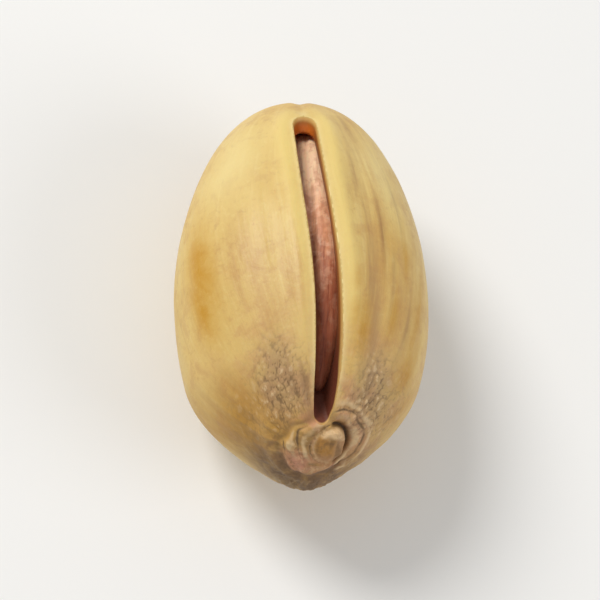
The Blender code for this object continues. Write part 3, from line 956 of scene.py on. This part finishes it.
# The scar: its gritty disc with pink bruises, the rings, the knob, the moat and the crack
ring = wood.mark("ring")
pink = wood.times(wood.mark("pink"), wood.between(flecks, 0.32, 0.58, 0.45, 1.0))
dark_grit = wood.between(flecks, 0.5, 0.34)
pale_grit = wood.between(flecks, 0.54, 0.68)
disc_colour = wood.over(SCAR_OLIVE, SCAR_BROWN, wood.between(blotches, 0.42, 0.58))
disc_colour = wood.over(disc_colour, SCAR_PINK, wood.times(pink, 0.8))
disc_colour = wood.over(disc_colour, CREASE_BROWN, wood.times(dark_grit, 0.7))
disc_colour = wood.over(disc_colour, PALE_CREST, wood.times(pale_grit, 0.5))
wood.coat(disc_colour, wood.times(wood.mark("disc"), 0.85))
wood.coat(SCAR_PINK, wood.times(pink, 0.4))
wood.coat(PALE_CREST, wood.times(wood.between(ring, 0.62, 0.95), 0.7))
wood.coat(CREASE_BROWN, wood.times(wood.between(ring, 0.42, 0.05), 0.9))
knob_colour = wood.over(KNOB_OCHRE, CREASE_BROWN, wood.times(dark_grit, 0.5))
knob_colour = wood.over(knob_colour, SCAR_BROWN, wood.mark("knob_side"))
knob_colour = wood.over(knob_colour, CREASE_BROWN, wood.times(wood.mark("knob_streak"), 0.6))
wood.coat(knob_colour, wood.times(wood.mark("knob"), 0.9))
knob_rim = wood.times(wood.mark("knob_rim"), wood.between(flecks, 0.34, 0.58, 0.45, 0.85))
wood.coat(KNOB_CREAM, knob_rim)
wood.coat(CREASE_BROWN, wood.times(wood.mark("moat"), 0.45))
wood.coat(CRACK_BROWN, wood.times(wood.mark("crack"), 0.95))
# The lips' edges with a painted highlight, their cut faces, and the hollow behind them in painted
# shade
# Painted highlight: a pale line along each lip's edge
wood.coat(LIP_EDGE_HIGHLIGHT, wood.times(wood.mark("lip"), 0.6))
# The depth inside counts up to four times over near the stem end, so the painted shade comes on
# sooner there
inside = wood.times(wood.mark("inside"), wood.between(stem, 0.5, 0.9, 1.0, 4.0))
lip_cut = wood.times(wood.between(inside, 0.01, 0.10), wood.between(stem, 0.4, 0.9, 1.0, 0.3))
wood.coat(LIP_CUT, lip_cut)
# Painted shade deep in the hollow: brown, and orange towards the tip
deep_inner_shade = wood.over(INNER_SHADE_BROWN, INNER_SHADE_ORANGE, wood.mark("tip"))
inner_colour_and_shade = wood.over(INNER_TAN_AND_SHADE, deep_inner_shade, wood.between(inside, 0.20, 0.70))
# Painted deep shade towards the stem end
inner_colour_and_shade = wood.over(inner_colour_and_shade, INNER_SHADE_DARK, wood.between(stem, 0.12, 0.60))
wood.coat(inner_colour_and_shade, wood.between(inside, 0.10, 0.40))
wood.feed(wood.shader.inputs["Base Color"], wood.colour)
gloss = wood.between(clouds, 0.3, 0.7, 0.44, 0.54)
gloss = wood.maths("ADD", gloss, wood.times(stem, 0.16))
wood.feed(wood.shader.inputs["Roughness"], gloss)
wood.shader.inputs["Subsurface Weight"].default_value = 0.08
wood.shader.inputs["Subsurface Scale"].default_value = 0.5 * MM
wood.shader.inputs["Subsurface Radius"].default_value = (1.0, 0.6, 0.3)
pores = wood.noise(0.20 * MM, 3.0, 0.6)
relief = wood.bump(pores, 0.015 * MM)
relief = wood.bump(fine_streaks, 0.02 * MM, relief)
wood.feed(wood.shader.inputs["Normal"], relief)
shell.data.materials.append(wood.material)
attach(shell, "root")
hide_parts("shell")


# The kernel. The seed lies loose in the shell. It is covered by a thin papery skin, pinkish tan
# towards the tip and dark red-brown towards the stem, which dried into fine lengthwise wrinkles.
KERNEL_LENGTH = 15.7 * MM
KERNEL_WIDTH = 9.3 * MM
KERNEL_TOP = 4.54 * MM
KERNEL_BACK = 4.88 * MM
KERNEL_SHIFT = 0.55 * MM
KERNEL_ASIDE = 0.15 * MM
KERNEL_STEM_FULLNESS = 0.10
# The keel under the split, and the ridges as (how many round, phase, share of the height)
KERNEL_KEEL = 0.36 * MM
KERNEL_KEEL_WIDTH = 0.20
KERNEL_KEEL_TURN = 0.03
KERNEL_RIDGES = ((7, 0.6, 0.5), (11, 3.3, 0.3), (16, 1.9, 0.2))
KERNEL_RIDGE_HEIGHT = 0.10 * MM
# The skin. Its lumps and its crumpled net are so many round the kernel and to a radian along
SKIN_WRINKLE = 0.10 * MM
SKIN_SWAY = 0.1
SKIN_LUMPS = (60, 7.0)
SKIN_NET = (110, 13.0)
SKIN_GROOVE = 0.22 * MM
SKIN_GROOVE_TURN = -0.12
SKIN_GROOVE_WIDTH = 0.045
KERNEL_COLUMNS = 200
KERNEL_STATIONS = 200


def skin_wrinkles(along, around):
    """Crests from 0 to 1 where the skin has shrunk: low lumps, drawn out lengthwise, and a finer
    crumpled net over them."""
    sway = SKIN_SWAY * grain(meridian_places(along, around, 16, 3.0), 21)
    lumps = 0.5 + 0.5 * grain(meridian_places(along, around + sway, *SKIN_LUMPS), 22)
    net = cell_middles(meridian_places(along, around - sway, *SKIN_NET), 23)
    return 0.7 * lumps + 0.3 * (1.0 - smooth(1.6 * net))


def kernel_surface(along, around):
    """Points of the kernel: a blunt egg with a soft keel under the split and a groove left of it,
    lengthwise ridges, and the skin's wrinkles."""
    y = -np.cos(along)
    ring = np.maximum(np.sin(along), 0.0) ** (1.0 - KERNEL_STEM_FULLNESS * smooth(-y))
    x = ring * np.sin(around)
    z = ring * np.cos(around)
    depth = np.where(z > 0.0, KERNEL_TOP, KERNEL_BACK)
    full = girth(y)
    normals = np.stack([x / KERNEL_WIDTH * 2, y / KERNEL_LENGTH * 2 + 0 * x, z / depth], axis=-1)
    normals /= np.linalg.norm(normals, axis=-1, keepdims=True)
    from_keel = (around - KERNEL_KEEL_TURN + math.pi) % (2 * math.pi) - math.pi
    from_groove = from_keel + KERNEL_KEEL_TURN - SKIN_GROOVE_TURN
    wave = sum(share * np.cos(count * around + phase) for count, phase, share in KERNEL_RIDGES)
    height = np.sin(along) * (
        KERNEL_KEEL * hump(from_keel, KERNEL_KEEL_WIDTH)
        + KERNEL_RIDGE_HEIGHT * (wave - 1.0)
        + SKIN_WRINKLE * (skin_wrinkles(along, around) - 0.6)
        - SKIN_GROOVE * hump(from_groove, SKIN_GROOVE_WIDTH)
    )
    points = np.stack(
        [KERNEL_WIDTH / 2 * full * x, KERNEL_LENGTH / 2 * y + 0 * x, depth * full * z], axis=-1
    )
    return points + (KERNEL_ASIDE, KERNEL_SHIFT, 0.0) + normals * height[..., None]


kernel_along, kernel_around = np.meshgrid(
    np.linspace(0.0, math.pi, KERNEL_STATIONS + 1),
    np.linspace(0.0, 2 * math.pi, KERNEL_COLUMNS + 1),
    indexing="ij",
)
kernel_points = kernel_surface(kernel_along, kernel_around) + to_place
kernel = sewn_piece("pistachio_kernel", [
    (kernel_points, False, {
        "fibre": meridian_places(kernel_along, kernel_around, 6, 0.2),
        "length": -np.cos(kernel_along),
        "crest": skin_wrinkles(kernel_along, kernel_around),
    }),
])

# Colours of the skin
SKIN_PEACH = tone(255, 218, 176)
SKIN_TAN = tone(236, 166, 122)
SKIN_RED = tone(178, 98, 64)
SKIN_MAROON = tone(190, 98, 64)
SKIN_DARK = tone(122, 54, 38)
SKIN_PINK = tone(240, 168, 130)
SKIN_PURPLE = tone(128, 72, 78)
SKIN_GREEN = tone(160, 140, 80)
SKIN_CREST = tone(255, 208, 172)

skin = Finish("kernel_skin", SKIN_MAROON)
skin_clouds = skin.noise(1.6 * MM, 3.0, 0.6, None, 0.5)
skin_streaks = skin.noise(0.06, 3.0, 0.6, skin.directions("fibre"), 0.3)
skin_flecks = skin.noise(0.42 * MM, 2.0, 0.55, None, 0.2)
mottle = skin.noise(2.6 * MM, 2.0, 0.5, None, 1.0)
# Darker and redder towards the stem, with a cloudy border between the colours. Length runs from
# -1 at the stem to 1 at the tip.
cloud_shift = skin.maths("MULTIPLY_ADD", skin_clouds, 0.7, -0.35)
length = skin.maths("ADD", skin.mark("length"), cloud_shift)
skin.coat(SKIN_RED, skin.between(length, -0.85, -0.40))
skin.coat(SKIN_TAN, skin.between(length, -0.30, 0.22))
skin.coat(SKIN_PEACH, skin.between(length, 0.10, 0.62))
# Lengthwise streaks, purple and green tinges, and pale and red flecks
skin.coat(SKIN_RED, skin.times(skin.between(skin_streaks, 0.5, 0.7), 0.45))
dark_share = skin.between(length, -0.2, 0.3, 0.6, 0.0)
skin.coat(SKIN_DARK, skin.times(skin.between(skin_streaks, 0.46, 0.62), dark_share))
pink_share = skin.between(length, -0.7, 0.0, 0.15, 0.5)
skin.coat(SKIN_PINK, skin.times(skin.between(skin_streaks, 0.46, 0.32), pink_share))
skin.coat(SKIN_PURPLE, skin.times(skin.between(mottle, 0.56, 0.66), 0.3))
skin.coat(SKIN_GREEN, skin.times(skin.between(mottle, 0.40, 0.30), 0.08))
pale_share = skin.between(length, -0.6, 0.3, 0.04, 0.50)
skin.coat(SKIN_CREST, skin.times(skin.between(skin_flecks, 0.50, 0.66), pale_share))
red_share = skin.between(length, -0.7, 0.1, 0.15, 0.32)
skin.coat(SKIN_RED, skin.times(skin.between(skin_flecks, 0.48, 0.34), red_share))
# Pale crests and red creases of the wrinkles
skin_crest = skin.mark("crest")
crest_share = skin.between(length, -0.4, 0.3, 0.03, 0.5)
skin.coat(SKIN_CREST, skin.times(skin.between(skin_crest, 0.50, 0.90), crest_share))
crease_share = skin.between(length, -0.2, 0.4, 0.6, 0.3)
skin.coat(SKIN_RED, skin.times(skin.between(skin_crest, 0.50, 0.10), crease_share))
skin.feed(skin.shader.inputs["Base Color"], skin.colour)
skin.feed(skin.shader.inputs["Roughness"], skin.between(skin_clouds, 0.3, 0.7, 0.45, 0.62))
skin.shader.inputs["Subsurface Weight"].default_value = 0.1
skin.shader.inputs["Subsurface Scale"].default_value = 0.5 * MM
skin_relief = skin.bump(skin.noise(0.2 * MM, 3.0, 0.6), 0.02 * MM)
skin_relief = skin.bump(skin_streaks, 0.04 * MM, skin_relief)
skin.feed(skin.shader.inputs["Normal"], skin_relief)
kernel.data.materials.append(skin.material)
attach(kernel, "root")
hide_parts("kernel")


# The table and the light. A matt white table, a broad soft lamp from the upper left, a weaker
# one from the right, and an even white room round them.
TABLE_HALF = 0.6
TABLE_WHITE = (0.86, 0.86, 0.85, 1.0)
# Each lamp is (name, place, size across, watts, colour), and shines at the origin
LAMPS = (
    ("key_lamp", (-0.20, 0.16, 0.27), 0.16, 0.90, (1.0, 0.985, 0.96)),
    ("fill_lamp", (0.26, -0.10, 0.20), 0.22, 0.30, (1.0, 0.98, 0.95)),
)
ROOM_LIGHT = 0.45

table_mesh = bpy.data.meshes.new("table")
table_mesh.from_pydata(
    [(x * TABLE_HALF, y * TABLE_HALF, 0.0) for x, y in ((-1, -1), (1, -1), (1, 1), (-1, 1))],
    [],
    [(0, 1, 2, 3)],
)
table = bpy.data.objects.new("table", table_mesh)
bpy.context.scene.collection.objects.link(table)
table_finish = Finish("white_table")
table_finish.shader.inputs["Base Color"].default_value = TABLE_WHITE
table_finish.shader.inputs["Roughness"].default_value = 0.9
table.data.materials.append(table_finish.material)

for lamp_name, lamp_place, lamp_size, lamp_power, lamp_colour in LAMPS:
    lamp_data = bpy.data.lights.new(lamp_name, "AREA")
    lamp_data.shape = "DISK"
    lamp_data.size = lamp_size
    lamp_data.energy = lamp_power
    lamp_data.color = lamp_colour
    lamp = bpy.data.objects.new(lamp_name, lamp_data)
    lamp.location = lamp_place
    lamp.rotation_euler = (-Vector(lamp_place)).to_track_quat("-Z", "Y").to_euler()
    bpy.context.scene.collection.objects.link(lamp)

world = bpy.data.worlds.new("room")
world.use_nodes = True
world.node_tree.nodes["Background"].inputs["Color"].default_value = (1.0, 1.0, 1.0, 1.0)
world.node_tree.nodes["Background"].inputs["Strength"].default_value = ROOM_LIGHT
bpy.context.scene.world = world
